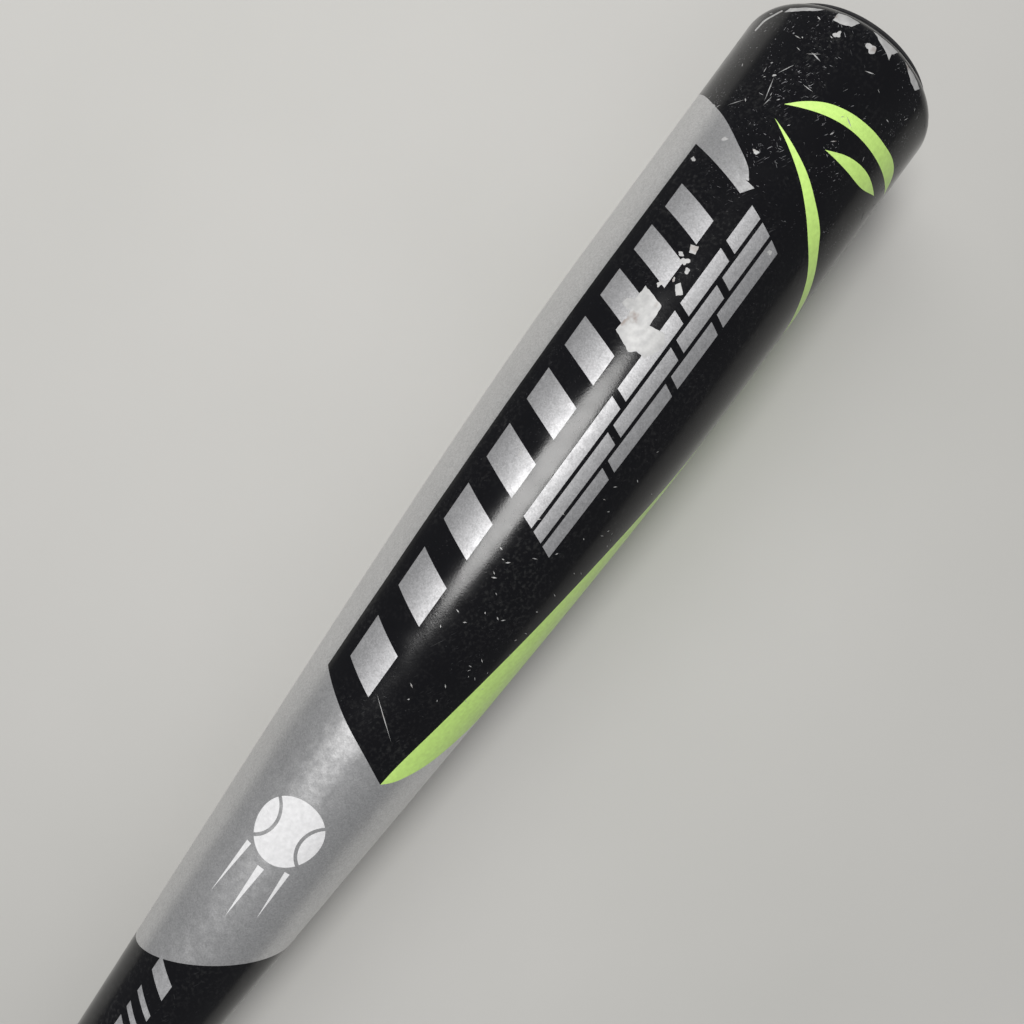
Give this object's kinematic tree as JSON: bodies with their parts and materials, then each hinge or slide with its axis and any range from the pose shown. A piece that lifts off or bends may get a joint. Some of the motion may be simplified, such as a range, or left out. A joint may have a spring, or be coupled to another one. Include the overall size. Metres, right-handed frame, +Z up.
{
  "type": "baseball bat",
  "caption": "One-piece aluminium baseball bat with a round barrel, smooth taper, pressed-in black end cap, wound grip and welded knob.",
  "frame": {"origin": "centre of the knob's end face, on the bat's axis", "axes": "+X along the bat's axis from the knob to the barrel end, +Z up out of the printed face of the barrel, +Y to the left when looking along +X"},
  "size_m": [0.838, 0.0666, 0.0666],
  "materials": {
    "shell_alloy": "painted silver, black and lime, satin gloss",
    "cap_plastic": "moulded, satin",
    "adhesive": "cured urethane",
    "urethane": "poured urethane",
    "knob_alloy": "painted black, satin gloss",
    "weld_alloy": "painted over",
    "plug_rubber": "matte",
    "badge_film": "printed film, satin",
    "damper_foam": "foam",
    "underlay_tape": "double-sided tape",
    "wrap_polymer": "cushioned polymer, matte, fine texture",
    "finishing_tape": "vinyl tape, satin"
  },
  "bodies": {
    "root": {"bat_shell": "shell_alloy", "end_cap": "cap_plastic", "end_cap_adhesive": "adhesive", "end_cap_weight": "urethane", "knob": "knob_alloy", "knob_weld": "weld_alloy", "knob_plug": "plug_rubber", "knob_badge": "badge_film", "handle_damper": "damper_foam", "grip_underlay": "underlay_tape", "grip_wrap": "wrap_polymer", "grip_finishing_tape": "finishing_tape"}
  },
  "joints": []
}
